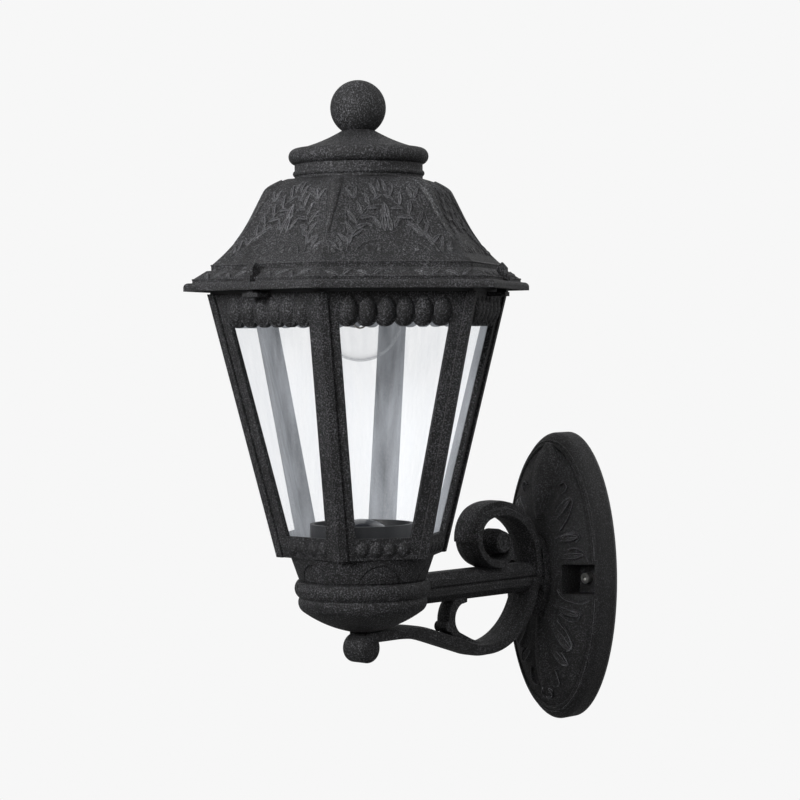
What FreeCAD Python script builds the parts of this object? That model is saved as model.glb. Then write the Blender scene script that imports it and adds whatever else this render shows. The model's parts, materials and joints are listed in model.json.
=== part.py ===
"""Outdoor wall light: a six-sided lantern carried by a scrolled arm on an oval wall plate.

Millimetres. The origin is the middle of the plate's back, on the wall: +Z is up and -Y is away from the wall.
"""
import FreeCAD
import Part
import math
import os

V = FreeCAD.Vector
UP = V(0, 0, 1)
ACROSS = V(1, 0, 0)
OUT = V(0, -1, 0)    # away from the wall
COS30 = math.cos(math.radians(30))

# Fits
clear = 0.3          # between pieces that must pass each other
screw_clear = 0.15   # round a screw's shank
join_slack = 0.001   # how near faces of one moulding count as touching

# Wall gasket, strap and plate
gasket_t = 2.0
cable_hole_r = 7.0
cable_hole_drop = 45.0
strap_t = 2.5
strap_w = 18.0
strap_end = 7.0      # strap beyond the plate screws
wall_hole_r = 2.6
wall_hole_pitch = 36.0
plate_half_w = 47.7
plate_half_h = 112.7
plate_wall = 3.0
rim_h = 12.0         # straight side of the plate
rim_edge_in = 4.0    # the rounded shoulder's width at the sides
rim_depth = 25.0     # wall side to the shoulder's front
groove_w = 1.6
groove_d = 1.2
dome_sag = 2.5
seat_half_w = 14.0   # flat seat of the arm
seat_depth = 38.0    # wall to that seat
pocket_w = 22.5
pocket_h = 23.0
pocket_out = 2.25    # a screw's middle to its pocket's, towards the plate's side
pocket_floor = 14.0  # wall to the pocket's floor
pocket_floor_t = 4.0
plate_screw_in = 16.7  # plate's side to a screw's middle
plate_screw_r = 2.5
plate_screw_head_r = 4.2
plate_screw_head_h = 5.0
plate_screw_key_r = 2.1

# Terminal block and lead
block_w = 24.0
block_h = 16.0
block_d = 12.0
terminals = 3
terminal_pitch = 8.0
terminal_r = 2.0
terminal_l = 5.0
lead_r = 3.0
lead_bend_r = 24.0
lead_bore_r = 4.5

# Arm, scrolls and collar
reach = 234.0        # wall to the lantern's axis
arm_z = 2.5
arm_w = 20.0
arm_h = 22.0
arm_bevel = 5.0
arm_groove = 1.6
foot_t = 6.0
foot_half_w = 12.0
foot_half_h = 31.0
arm_screw_pitch = 40.0
arm_screw_r = 2.5
arm_screw_head_r = 4.5
arm_screw_head_h = 3.5
arm_screw_grip = 4.0
scroll_w = 23.0
scroll_edge = 5.0    # thickness at the scroll's edges
scroll_crown = 2.0   # how far its middle swells past the edges
scroll_bevel = 7.0
scroll_root = 6.5    # foot's front to the upper scroll's middle line
scroll_rise = 10.0
scroll_turns = ((42.5, 110.0), (17.4, 105.0), (25.5, 55.0), (11.5, 150.0), (5.5, 190.0))
brace_edge = 7.0
brace_crown = 1.5
brace_root = 9.5     # foot's front to the lower scroll's middle line
brace_lean = 6.0     # degrees off upright where the lower scroll starts
brace_turn_r = 56.5
brace_turn = 101.5
brace_short = 66.0   # end of the brace's straight run to the lantern's axis
brace_level_r = 115.0
leaf_w = 16.0        # strip on the upper scroll's back
leaf_edge = 5.0
leaf_crown = 0.5
leaf_bevel = 4.0
leaf_off = 5.5       # scroll's middle line to the strip's
leaf_turn = 75.0     # of the scroll's second turn, where the strip ends
curl_w = 12.0
curl_bevel = 4.0
curl_start = 69.0    # of the brace's turn, where the curl leaves it
curl_runs = ((40.0, -40.0), (15.0, 0.0), (15.8, -160.0))
curl_lip_r = 4.0
curl_lip_deg = 194.0
roll_r = 10.7        # rolled end of the brace
roll_w = 22.0
roll_edge = 5.0
roll_past = 2.0      # past the lantern's axis
roll_drop = 8.0
collar_z = 14.0      # top of the collar
collar_wall = 4.0
ring_swell = 2.1     # rings' middles and feet, past the collar's top
ring_h = 12.0
ring_foot_in = 1.2
lower_ring_in = 0.6
lower_ring_h = 10.6
lower_ring_foot_in = 4.3
dish_r = 10.0
dish_h = 14.4
dish_sag = 1.9
cup_rise = 3.6       # cup's floor above the lower ring's foot
set_screws = 3
set_screw_r = 2.0
set_screw_drop = 4.2

# Lantern cage
spigot_r = 43.0
spigot_h = 7.0
neck_flare = 6.0
neck_wall = 4.0
neck_h = 18.4
neck_in = 1.0        # neck's foot inside the collar's top
neck_gap_h = 1.2     # shadow gap above the collar
neck_gap_d = 1.5
lunettes = 6         # engraved half-round lines round the neck
lunette_half_w = 15.0
lunette_h = 13.0
lunette_line = 0.9
lunette_d = 0.8
cage_foot_r = 63.6   # to the corners, as are the radii of all six-sided pieces
cage_top_r = 112.0
cage_h = 187.6
floor_t = 4.0
frame_t = 4.0
post_w = 6.0         # one facet of a corner post
post_rise = 2.0
frame_w = 7.5        # flat frame beside a post
sill_h = 15.6
valance_h = 24.0
flutes = 6
flute_rise = 4.5
flute_depth = 3.8    # how far a flute swells out of the valance
flute_gap = 0.35
flute_end = 0.7      # scallop's tip to the flute's
flute_h = 21.0
shells = 4           # small swellings on the bottom rail
shell_pitch = 10.2
shell_half_w = 4.4
shell_depth = 2.4
shell_foot = 1.8
shell_h = 11.5
swell_root = 0.5     # how deep flutes and shells go into the wall
clips = 3
clip_w = 6.0
clip_d = 7.0
clip_gap = 6.0       # cage's flat to the clip's inner side
clip_foot_w = 15.0
clip_foot_t = 3.0
clip_h = 21.0        # above the cage
clip_point = 4.0
pane_t = 2.0
pane_top_gap = 1.5

# Wiring cup on the lantern's floor
gear_r = 37.5
gear_h = 18.4
gear_wall = 2.5
gear_dome_r = 27.0
gear_dome_h = 19.0
gear_dome_wall = 2.0

# Roof
seal_t = 2.0
seal_w = 4.0
eave_over = 17.0     # eave's corners past the cage's
eave_h = 2.8
nose_in = 4.0        # steps inside the eave's corners
nose_h = 5.8
nose_sag = 1.0
frieze_foot_in = 6.5
frieze_foot_h = 8.2
frieze_top_in = 17.0
frieze_top_h = 14.5
flare_in = 20.2
flare_h = 18.2
flare_sag = 2.5
waist_r = 76.5
waist_drop = 24.0    # below the crown
shoulder_r = 68.0
shoulder_drop = 9.7
shoulder_sag = 1.5
crown_r = 52.0
roof_h = 80.0
roof_wall = 5.0
mouth_in = 14.0      # inside the cage's corners
flange_t = 5.0
eave_groove_in = 4.0
eave_groove_w = 11.0
eave_groove_d = 3.0
lug_d = 2.2
lug_h = 10.0

# Cap, ball and what holds them
cap_r = 46.0
cap_bead_r = 47.3
cap_bead_z = 4.0
cap_bead_h = 4.0
cap_band_h = 10.6
cap_torus_r = 50.3
cap_torus_h = 11.4
cap_cone_r = 43.0
cap_cone_sag = 1.2
cap_h = 35.0
cap_bore_r = 42.0
cap_bore_h = 14.0
cap_roof_h = 20.0
cap_roof_r = 14.0
ball_r = 20.0
ball_seat_r = 11.8
stud_r = 4.0
stud_in_ball = 16.0
nut_wall = 1.5       # nipple to the nut's flats
nut_t = 4.0
nipple_r = 5.0
nipple_wall = 1.8

# Lampholder and bulb
holder_r = 21.0
holder_top_t = 8.0
holder_top_r = 14.0
sleeve_t = 0.8
sleeve_over = 5.4    # past the bulb's thread
contact_r = 3.5
contact_h = 9.9      # bulb's tip to the lampholder's roof
bulb_r = 30.0
bulb_h = 76.7        # glass below the lampholder
bulb_shoulder = 30.0 # degrees above the globe's middle where the neck starts
bulb_neck_r = 12.0
bulb_neck_sag = -3.0
bulb_glass_t = 1.0
thread_r = 13.2
thread_root_r = 12.4
threads = 6
thread_pitch = 3.6
bulb_insulator_h = 3.5
bulb_tip_r = 4.8
bulb_tip_h = 2.0
stem_r = 4.0
stem_h = 34.0
filament_r = 0.6
filament_ring_r = 9.0

# Sizes that follow
plate_screw_pitch = 2 * (plate_half_w - plate_screw_in)
collar_top_r = spigot_r + collar_wall
ring_r = collar_top_r + ring_swell
cup_depth = ring_h + lower_ring_h - cup_rise
neck_r = collar_top_r - neck_in
eave_r = cage_top_r + eave_over
flare_r = eave_r - flare_in
clip_in = cage_top_r * COS30 - post_rise + clip_gap
nut_r = (nipple_r + nut_wall) / COS30
thread_h = threads * thread_pitch
holder_h = thread_h + bulb_insulator_h + bulb_tip_h + contact_h + holder_top_t
cage_foot_z = collar_z + neck_h
cage_top_z = cage_foot_z + cage_h
eave_z = cage_top_z + seal_t
crown_z = eave_z + roof_h
cap_top_z = crown_z + cap_h
holder_top_z = crown_z - roof_wall - nut_t
mouth_z = holder_top_z - holder_h
bulb_z = mouth_z - bulb_h + bulb_r
foot_y = seat_depth + foot_t


def arc_to(start, end, sag):
    """An outline's arc from start to end: it bows out by sag to the left of the way it runs."""
    run = end[0] - start[0], end[1] - start[1]
    length = math.hypot(*run)
    via = (start[0] + end[0]) / 2 - run[1] / length * sag, (start[1] + end[1]) / 2 + run[0] / length * sag
    return via, end


def tangent_arc(start, end, heading):
    """An outline's arc from start to end that leaves start along a heading in degrees."""
    run = end[0] - start[0], end[1] - start[1]
    turn = math.atan2(run[1], run[0]) - math.radians(heading)
    return arc_to(start, end, -math.hypot(*run) / 2 * math.tan(turn / 2))


def face(path, place=lambda a, b: V(a, 0, b)):
    """A flat face from an outline: each step is a line's end, or an arc's middle and end."""
    edges = []
    start = path[0]
    for step in list(path[1:]) + [path[0]]:
        if isinstance(step[0], tuple):
            edges.append(Part.Arc(place(*start), place(*step[0]), place(*step[1])).toShape())
            start = step[1]
        elif step != start:
            edges.append(Part.LineSegment(place(*start), place(*step)).toShape())
            start = step
    return Part.Face(Part.Wire(edges))


def turned(path):
    """A round solid from its half outline (radius, height) about the vertical axis."""
    return face(path).revolve(V(), UP, 360)


def tube(outer_r, inner_r, z0, z1):
    """A round tube about the vertical axis."""
    ring = Part.makeCylinder(outer_r, z1 - z0, V(0, 0, z0))
    return ring.cut(Part.makeCylinder(inner_r, z1 - z0, V(0, 0, z0)))


def spun(shape, degrees):
    """A copy of a shape turned about the vertical axis."""
    copy = shape.copy()
    copy.rotate(V(), UP, degrees)
    return copy


def at(shape, x=0.0, y=0.0, z=0.0):
    """A copy of a shape moved by x, y and z."""
    copy = shape.copy()
    copy.translate(V(x, y, z))
    return copy


def six_sided(path):
    """A six-sided solid from its half outline (corner radius, height), with a flat to +Y."""
    long = 2 * eave_r
    flat = face([scaled(step) for step in path])
    half = at(flat.extrude(V(0, 2 * long, 0)), y=-long)
    slab = half.fuse(spun(half, 180)).removeSplitter()
    return spun(slab, 30).common(spun(slab, 90)).common(spun(slab, 150))


def scaled(step):
    """An outline's step with corner radii turned into distances to the flats."""
    if isinstance(step[0], tuple):
        return scaled(step[0]), scaled(step[1])
    return step[0] * COS30, step[1]


def corner(radius, k, z):
    """Corner k of a hexagon of that corner radius."""
    angle = math.radians(60 * k)
    return V(radius * math.cos(angle), radius * math.sin(angle), z)


def hexagon(radius, z):
    """A hexagon's wire about the vertical axis, with a flat to +Y."""
    return Part.makePolygon([corner(radius, k, z) for k in range(7)])


def frustum(r0, z0, r1, z1):
    """A six-sided taper from one corner radius to another."""
    return Part.makeLoft([hexagon(r0, z0), hexagon(r1, z1)], True, True)


def nut(z, bore_r):
    """A hexagon nut lying on the height z."""
    blank = frustum(nut_r, z, nut_r, z + nut_t)
    return blank.cut(Part.makeCylinder(bore_r, nut_t, V(0, 0, z)))


def cap_screw(head_r, head_h, shank_r, length, key_r):
    """A socket-head screw along +Y, its head's underside at the origin."""
    head = Part.makeCylinder(head_r, head_h, V(0, -head_h, 0), V(0, 1, 0))
    shank = Part.makeCylinder(shank_r, length, V(), V(0, 1, 0))
    key = face([(corner(key_r, k, 0).x, corner(key_r, k, 0).y) for k in range(6)])
    return head.fuse(shank).cut(at(key.extrude(V(0, head_h / 2, 0)), y=-head_h))


# Wall side

def oval(shape):
    """A round shape of the plate's width, stretched to the plate's height."""
    stretch = FreeCAD.Matrix()
    stretch.scale(V(1, 1, plate_half_h / plate_half_w))
    return shape.transformGeometry(stretch)


def oval_disc(half_w, half_h, start, thick):
    """A flat upright oval disc, from a depth outwards."""
    centre = V(0, -start, 0)
    rim = Part.Ellipse(centre + UP * half_h, centre + ACROSS * half_w, centre).toShape()
    return Part.Face(Part.Wire(rim)).extrude(OUT * thick)


def dished(width, start, inset, flat_depth):
    """A round dished solid about the plate's axis, inset from the plate's outside."""
    side_top = rim_h + gasket_t
    edge = width - rim_edge_in, rim_depth - inset
    seat = seat_half_w, flat_depth
    path = [(0, start), (width, start), (width, side_top), tangent_arc((width, side_top), edge, 90)]
    if inset == 0:
        path += [(edge[0] - groove_w / 2, edge[1] - groove_d), (edge[0] - groove_w, edge[1])]
        edge = path[-1]
    path += [arc_to(edge, seat, -dome_sag), (0, flat_depth)]
    return oval(face(path, lambda a, b: V(a, -b, 0)).revolve(V(), OUT, 360))


def plate_pocket(side, grow, floor):
    """The square pocket of one plate screw, from a depth to well past the plate's front."""
    width = pocket_w + 2 * grow
    height = pocket_h + 2 * grow
    corner_x = side * (plate_screw_pitch / 2 + pocket_out) - width / 2
    return Part.makeBox(width, 2 * seat_depth, height, V(corner_x, -floor - 2 * seat_depth, -height / 2))


def wall_plate():
    """The hollow oval plate, with two screw pockets and the arm's flat seat."""
    outer = dished(plate_half_w, gasket_t, 0, seat_depth)
    hollow = dished(plate_half_w - plate_wall, gasket_t, plate_wall, seat_depth - plate_wall)
    plate = outer.cut(hollow)
    for side in (-1, 1):
        boss = plate_pocket(side, plate_wall, pocket_floor - pocket_floor_t).common(outer)
        plate = plate.fuse(boss).cut(plate_pocket(side, 0, pocket_floor))
    holes = plate_screw_holes()
    holes.append(Part.makeCylinder(lead_bore_r, 2 * seat_depth, V(0, 0, arm_z), OUT))
    for side in (-1, 1):
        place = V(0, 0, arm_z + side * arm_screw_pitch / 2)
        holes.append(Part.makeCylinder(arm_screw_r + screw_clear, 2 * seat_depth, place, OUT))
    return plate.cut(holes)


def wall_gasket():
    """The sheet seal between plate and wall, with holes for the cable and the wall screws."""
    sheet = oval_disc(plate_half_w, plate_half_h, 0, gasket_t)
    holes = [Part.makeCylinder(cable_hole_r, gasket_t, V(0, 0, -cable_hole_drop), OUT)]
    return sheet.cut(holes + wall_holes(gasket_t))


def wall_holes(depth):
    """Cutters for the two wall screws."""
    places = [V(side * wall_hole_pitch / 2, 0, 0) for side in (-1, 1)]
    return [Part.makeCylinder(wall_hole_r, depth, place, OUT) for place in places]


def plate_screw_holes():
    """Cutters for the two plate screws, through strap and pockets."""
    places = [V(side * plate_screw_pitch / 2, 0, 0) for side in (-1, 1)]
    return [Part.makeCylinder(plate_screw_r + screw_clear, seat_depth, place, OUT) for place in places]


def cable_grommet():
    """The flanged rubber grommet in the gasket's cable hole."""
    body = Part.makeCylinder(cable_hole_r - screw_clear, gasket_t, V(), OUT)
    flange = Part.makeCylinder(cable_hole_r + gasket_t, gasket_t, V(0, -gasket_t, 0), OUT)
    bore = Part.makeCylinder(lead_r, 2 * gasket_t, V(), OUT)
    return at(body.fuse(flange).cut(bore), z=-cable_hole_drop)


def wall_strap():
    """The steel strap behind the plate that the plate's screws pull on."""
    length = plate_screw_pitch + 2 * strap_end
    bar = Part.makeBox(length, strap_t, strap_w, V(-length / 2, -gasket_t - strap_t, -strap_w / 2))
    return bar.cut(plate_screw_holes() + wall_holes(gasket_t + strap_t))


def plate_screw(side):
    """One socket-head screw, from a pocket's floor into the strap."""
    length = pocket_floor - gasket_t - clear
    screw = cap_screw(plate_screw_head_r, plate_screw_head_h, plate_screw_r, length, plate_screw_key_r)
    return at(screw, side * plate_screw_pitch / 2, -pocket_floor)


def terminal_block():
    """The connector block on the strap, with the holes of its screws."""
    front = gasket_t + strap_t + block_d
    block = Part.makeBox(block_w, block_d, block_h, V(-block_w / 2, -front, -block_h / 2 + arm_z))
    radius = terminal_r + screw_clear
    holes = [Part.makeCylinder(radius, terminal_l, V(*place)) for place in terminal_places()]
    return block.cut(holes)


def terminal_places():
    """The foot of each terminal screw."""
    y = -(gasket_t + strap_t + block_d / 2)
    z = arm_z + block_h / 2 - terminal_l
    return [((k - (terminals - 1) / 2) * terminal_pitch, y, z) for k in range(terminals)]


# Arm and scrolls

def bar_section(point, heading, width, edge, crown, bevel):
    """A scroll's section, flat at the edges and swollen in the middle, square to its heading."""
    left = math.radians(heading + 90)
    half = width / 2
    thick = edge / 2 + crown
    offsets = [(edge / 2, half), (thick, half - bevel), (thick, bevel - half), (edge / 2, -half)]
    loop = offsets + [(-out, -x) for out, x in offsets]
    points = [V(x, point[0] + out * math.cos(left), point[1] + out * math.sin(left)) for out, x in loop]
    return Part.Face(Part.makePolygon(points + points[:1]))


def scroll_bar(point, heading, runs, edge, crown, width=scroll_w, bevel=scroll_bevel):
    """The solids of a scroll along (radius, left turn) arcs or straight runs, its last centre and its end."""
    solids = []
    for size, turn in runs:
        section = bar_section(point, heading, width, edge, crown, bevel)
        if turn == 0:
            step = size * math.cos(math.radians(heading)), size * math.sin(math.radians(heading))
            solids.append(section.extrude(V(0, *step)))
            centre = point = point[0] + step[0], point[1] + step[1]
            continue
        side = math.radians(heading + math.copysign(90, turn))
        centre = point[0] + size * math.cos(side), point[1] + size * math.sin(side)
        solids.append(section.revolve(V(0, *centre), ACROSS, turn))
        heading += turn
        side += math.radians(turn)
        point = centre[0] - size * math.cos(side), centre[1] - size * math.sin(side)
    return solids, centre, point


def upper_scroll():
    """The C-scroll above the arm, ending in a solid eye, with a leaf strip on its back that ends bluntly."""
    runs = [(scroll_rise, 0.0)] + list(scroll_turns)
    solids, eye, _ = scroll_bar((-foot_y - scroll_root, arm_z), 90.0, runs, scroll_edge, scroll_crown)
    eye_r = scroll_turns[-1][0] + scroll_edge / 2
    root = -foot_y - scroll_root + leaf_off, arm_z
    (first_r, first), (second_r, _) = scroll_turns[:2]
    runs = [(scroll_rise, 0.0), (first_r + leaf_off, first), (second_r + leaf_off, leaf_turn)]
    leaf = scroll_bar(root, 90.0, runs, leaf_edge, leaf_crown, leaf_w, leaf_bevel)[0]
    return solids + leaf + [Part.makeCylinder(eye_r, scroll_w, V(-scroll_w / 2, *eye), ACROSS)]


def lower_scroll():
    """The brace under the arm, with a curl that leaves its back and a rolled end below the collar."""
    root = -foot_y - brace_root, arm_z
    heading = -90.0 - brace_lean
    sweep, _, foot = scroll_bar(root, heading, [(brace_turn_r, -brace_turn)], brace_edge, brace_crown)
    heading -= brace_turn
    level = -180.0 - heading
    run = (foot[0] + reach - brace_short) / -math.cos(math.radians(heading))
    back, _, end = scroll_bar(foot, heading, [(run, 0.0), (brace_level_r, level)], brace_edge, brace_crown)
    tail = reach + roll_past + end[0]
    back += scroll_bar(end, 180.0, [(tail, 0.0)], brace_edge, brace_crown)[0]
    roll_at = V(-roll_w / 2, -reach - roll_past, end[1] - roll_drop)
    roll = Part.makeCylinder(roll_r, roll_w, roll_at, ACROSS)
    rims = [edge for edge in roll.Edges if isinstance(edge.Curve, Part.Circle)]
    return sweep + back + lower_curl(root) + [roll.makeFillet(roll_edge, rims)]


def lower_curl(root):
    """The narrow curl that leaves the brace and turns up under the arm, with a lip on its back."""
    heading = -90.0 - brace_lean
    start = scroll_bar(root, heading, [(brace_turn_r, -curl_start)], brace_edge, brace_crown)[2]
    bars, middle, _ = scroll_bar(
        start, heading - curl_start, curl_runs, brace_edge, brace_crown, curl_w, curl_bevel)
    past = curl_runs[-1][0] + brace_edge / 2
    angle = math.radians(curl_lip_deg)
    lip_at = V(-curl_w / 2, middle[0] + past * math.cos(angle), middle[1] + past * math.sin(angle))
    return bars + [Part.makeCylinder(curl_lip_r, curl_w, lip_at, ACROSS)]


def collar_cup():
    """The two-ring collar and dish that the lantern's neck drops into, about the lantern's axis."""
    ring_foot = collar_top_r - ring_foot_in, collar_z - ring_h
    lower_foot = collar_top_r - lower_ring_foot_in, ring_foot[1] - lower_ring_h
    dish_foot = dish_r, lower_foot[1] - dish_h
    bore = spigot_r + clear
    path = [
        (bore, collar_z),
        (collar_top_r, collar_z),
        ((ring_r, collar_z - ring_h / 2), ring_foot),
        ((collar_top_r - lower_ring_in, ring_foot[1] - lower_ring_h / 2), lower_foot),
        arc_to(lower_foot, dish_foot, dish_sag),
        (0, dish_foot[1]),
        (0, collar_z - cup_depth),
        (bore, collar_z - cup_depth),
    ]
    cup = turned(path)
    return cup.cut([set_screw(k, screw_clear) for k in range(set_screws)])


def arm_bar():
    """The bevelled arm from collar to foot, grooved along both sides, and its oval foot."""
    half_w = arm_w / 2
    half_h = arm_h / 2
    right = [
        (half_w - arm_bevel, half_h),
        (half_w, half_h - arm_bevel),
        (half_w, arm_groove),
        (half_w - arm_groove, 0),
        (half_w, -arm_groove),
        (half_w, arm_bevel - half_h),
        (half_w - arm_bevel, -half_h),
    ]
    path = right + [(-x, z) for x, z in reversed(right)]
    length = reach - spigot_r - seat_depth - foot_t / 2
    bar = face(path).extrude(V(0, length, 0))
    foot = oval_disc(foot_half_w, foot_half_h, seat_depth, foot_t)
    return [at(bar, y=-reach + spigot_r, z=arm_z), at(foot, z=arm_z)]


def arm_bracket():
    """Arm, scrolls and collar in one moulding, bored for the lead."""
    cup = at(collar_cup(), y=-reach)
    bracket = cup.fuse(arm_bar() + upper_scroll() + lower_scroll())
    well = at(Part.makeCylinder(spigot_r + clear, cup_depth, V(0, 0, collar_z - cup_depth)), y=-reach)
    bore = Part.makeCylinder(lead_bore_r, reach - seat_depth, V(0, -seat_depth, arm_z), OUT)
    taps = []
    for side in (-1, 1):
        place = V(0, -seat_depth, arm_z + side * arm_screw_pitch / 2)
        taps.append(Part.makeCylinder(arm_screw_r + screw_clear, arm_screw_grip + clear, place, OUT))
    return bracket.cut([well, bore] + taps).removeSplitter()


def arm_screw(side):
    """One screw from inside the plate into the arm's foot."""
    length = plate_wall + arm_screw_grip
    screw = cap_screw(arm_screw_head_r, arm_screw_head_h, arm_screw_r, length, arm_screw_r)
    screw.rotate(V(), UP, 180)
    return at(screw, 0, -seat_depth + plate_wall, arm_z + side * arm_screw_pitch / 2)


def set_screw(k, grow=0.0):
    """One headless screw through the collar's ring against the neck's spigot, or its hole when grown."""
    length = ring_r - spigot_r if grow == 0 else ring_r
    pin = Part.makeCylinder(set_screw_r + grow, length, V(spigot_r, 0, collar_z - set_screw_drop), ACROSS)
    return spun(pin, k * 360 / set_screws)


def lead():
    """The lead from the terminal block, along the arm and up into the wiring cup."""
    start = gasket_t + strap_t + block_d
    bend_z = arm_z + lead_bend_r
    run = Part.makeCylinder(lead_r, reach - lead_bend_r - start, V(0, -start, arm_z), OUT)
    ring = Part.Face(Part.Wire(Part.Circle(V(0, -reach + lead_bend_r, arm_z), V(0, 1, 0), lead_r).toShape()))
    bend = ring.revolve(V(0, -reach + lead_bend_r, bend_z), ACROSS, -90)
    top = cage_foot_z + floor_t + gear_wall + gear_dome_h / 2
    rise = Part.makeCylinder(lead_r, top - bend_z, V(0, -reach, bend_z))
    return run.fuse([bend, rise]).removeSplitter()


# Lantern body, about its own axis

def cage_r(z):
    """Corner radius of the posts' ridges at a height."""
    return cage_foot_r + (cage_top_r - cage_foot_r) * (z - cage_foot_z) / cage_h


def shell_r(z, inset):
    """Corner radius at a height of a six-sided skin that lies inset from the posts' facets."""
    return cage_r(z) - inset / COS30


def skin(inset, z0, z1):
    """The solid inside that skin, between two heights."""
    return frustum(shell_r(z0, inset), z0, shell_r(z1, inset), z1)


def window_half(z):
    """Half the width of a window at a height."""
    return cage_r(z) / 2 - post_w - frame_w


def flute_pitch(z):
    """From flute to flute at a height."""
    return 2 * window_half(z) / flutes


def window():
    """The cutter of one window, towards +X: a taper with a scalloped head."""
    sill = cage_foot_z + sill_h
    tip = cage_top_z - valance_h
    notch = tip + flute_rise

    pitch = flute_pitch(notch)
    path = [(-window_half(sill), sill), (window_half(sill), sill), (window_half(notch), notch)]
    for k in range(flutes):
        left = window_half(notch) - (k + 1) * pitch
        path.append(((left + pitch / 2, tip), (left, notch)))
    return face(path, lambda a, b: V(0, a, b)).extrude(V(2 * eave_r, 0, 0))


def post(k):
    """One corner post: two facets that stand proud of the frame beside them."""
    depth = post_rise + frame_t / 2
    wires = []
    for z in (cage_foot_z, cage_top_z):
        tip = corner(cage_r(z), k, z)
        root = corner(shell_r(z, depth), k, z)
        sides = []
        for step in (1, -1):
            along = corner(1, k + step, z) - corner(1, k, z)
            edge = tip + along * post_w
            inward = corner(depth, k + step / 2, 0)
            sides.append((edge, edge - inward))
        loop = [tip, sides[0][0], sides[0][1], root, sides[1][1], sides[1][0], tip]
        wires.append(Part.makePolygon(loop))
    return Part.makeLoft(wires, True, True)


def swelling(half_w, depth, height):
    """An almond-shaped swelling on an upright wall at X 0, fullest at half its height, its foot on Z 0."""
    radius = (half_w ** 2 + depth ** 2) / (2 * depth)
    sunk = radius - depth
    barrel = turned([(0, 0), (sunk, 0), ((radius, height / 2), (sunk, height)), (0, height)])
    wide = 2 * radius
    front = Part.makeBox(wide, 2 * wide, height, V(-swell_root, -wide, 0))
    return at(barrel, x=-sunk).common(front)


def on_faces(piece, count, pitch, z):
    """Copies of a swelling in a row on each face of the cage, their feet at a height, leaning as it does."""
    lean = math.atan((cage_top_r - cage_foot_r) * COS30 / cage_h)
    leaned = piece.copy()
    leaned.rotate(V(), V(0, 1, 0), math.degrees(lean))
    row = [at(leaned, shell_r(z, post_rise) * COS30, (k - (count - 1) / 2) * pitch, z) for k in range(count)]
    return [spun(copy, 30 + 60 * face_k) for face_k in range(6) for copy in row]


def flute_row():
    """The valance's flutes, one over each scallop."""
    tip = cage_top_z - valance_h
    pitch = flute_pitch(tip + flute_rise)
    return on_faces(swelling(pitch / 2 - flute_gap, flute_depth, flute_h), flutes, pitch, tip + flute_end)


def shell_row():
    """The small swellings on the bottom rails."""
    one = swelling(shell_half_w, shell_depth, shell_h)
    return on_faces(one, shells, shell_pitch, cage_foot_z + shell_foot)


def lunette():
    """The cutter of one engraved half-round line on the neck, towards +X."""
    foot_z = collar_z + neck_gap_h
    outline = []
    for inset in (0.0, lunette_line):
        half = lunette_half_w - inset
        outline.append([(-half, foot_z), ((0, foot_z + lunette_h - inset), (half, foot_z))])
    (start, over), (inner_start, inner_over) = outline
    path = [start, over, inner_over[1], (inner_over[0], inner_start)]
    band = face(path, lambda a, b: V(0, a, b)).extrude(V(2 * collar_top_r, 0, 0))
    inside = neck_r - lunette_d
    outside = 2 * collar_top_r
    flare = [(outside, cage_foot_z), (inside + neck_flare, cage_foot_z)]
    flank = turned([(inside, foot_z), (outside, foot_z)] + flare)
    return band.common(flank)


def roof_clip(grow=0.0):
    """One pointed tongue towards +X that locates the roof, or its slot when grown."""
    z0 = cage_top_z - clip_foot_t
    tip = cage_top_z + clip_h + grow
    inner = clip_in - grow
    outer = clip_in + clip_d + grow
    shoulder = tip - clip_point
    path = [(inner, z0), (outer, z0), (outer, shoulder), ((inner + outer) / 2, tip), (inner, shoulder)]
    width = clip_w + 2 * grow
    return at(face(path).extrude(V(0, width, 0)), y=-width / 2)


def clip_foot():
    """The ledge towards +X that carries one clip on the cage's rim."""
    inner = shell_r(cage_top_z, post_rise + frame_t / 2) * COS30
    size = clip_in + clip_d - inner
    return Part.makeBox(size, clip_foot_w, clip_foot_t, V(inner, -clip_foot_w / 2, cage_top_z - clip_foot_t))


def clip_angles():
    """Where the clips stand: on every second flat, the first away from the wall."""
    return [-90 + k * 360 / clips for k in range(clips)]


def lantern_cage():
    """Posts, frames, valance, floor, neck and roof clips in one moulding."""
    outer = skin(post_rise, cage_foot_z, cage_top_z)
    inner = skin(post_rise + frame_t, cage_foot_z + floor_t, cage_top_z)
    cage = outer.cut([inner] + [spun(window(), 30 + 60 * k) for k in range(6)])
    neck_bore_r = spigot_r - neck_wall
    neck = turned([
        (neck_bore_r, collar_z - spigot_h),
        (spigot_r, collar_z - spigot_h),
        (spigot_r, collar_z),
        (neck_r - neck_gap_d, collar_z),
        (neck_r - neck_gap_d, collar_z + neck_gap_h),
        (neck_r, collar_z + neck_gap_h),
        (neck_r + neck_flare, cage_foot_z),
        (neck_bore_r, cage_foot_z),
    ])
    neck = neck.cut([spun(lunette(), 30 + k * 360 / lunettes) for k in range(lunettes)])
    rows = [[post(k) for k in range(6)], [neck]]
    for row in (flute_row(), shell_row()):
        rows += [row[::2], row[1::2]]    # neighbours nearly touch, so they are joined in turn
    for angle in clip_angles():
        rows.append([spun(clip_foot(), angle), spun(roof_clip(), angle)])
    for row in rows:
        cage = cage.multiFuse(row, join_slack)
    hole = Part.makeCylinder(lead_bore_r, floor_t, V(0, 0, cage_foot_z))
    return cage.cut(hole).removeSplitter()


def diffuser():
    """The clear six-sided insert inside the cage."""
    z0 = cage_foot_z + floor_t
    z1 = cage_top_z - pane_top_gap
    inset = post_rise + frame_t + clear
    return skin(inset, z0, z1).cut(skin(inset + pane_t, z0, z1))


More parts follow.
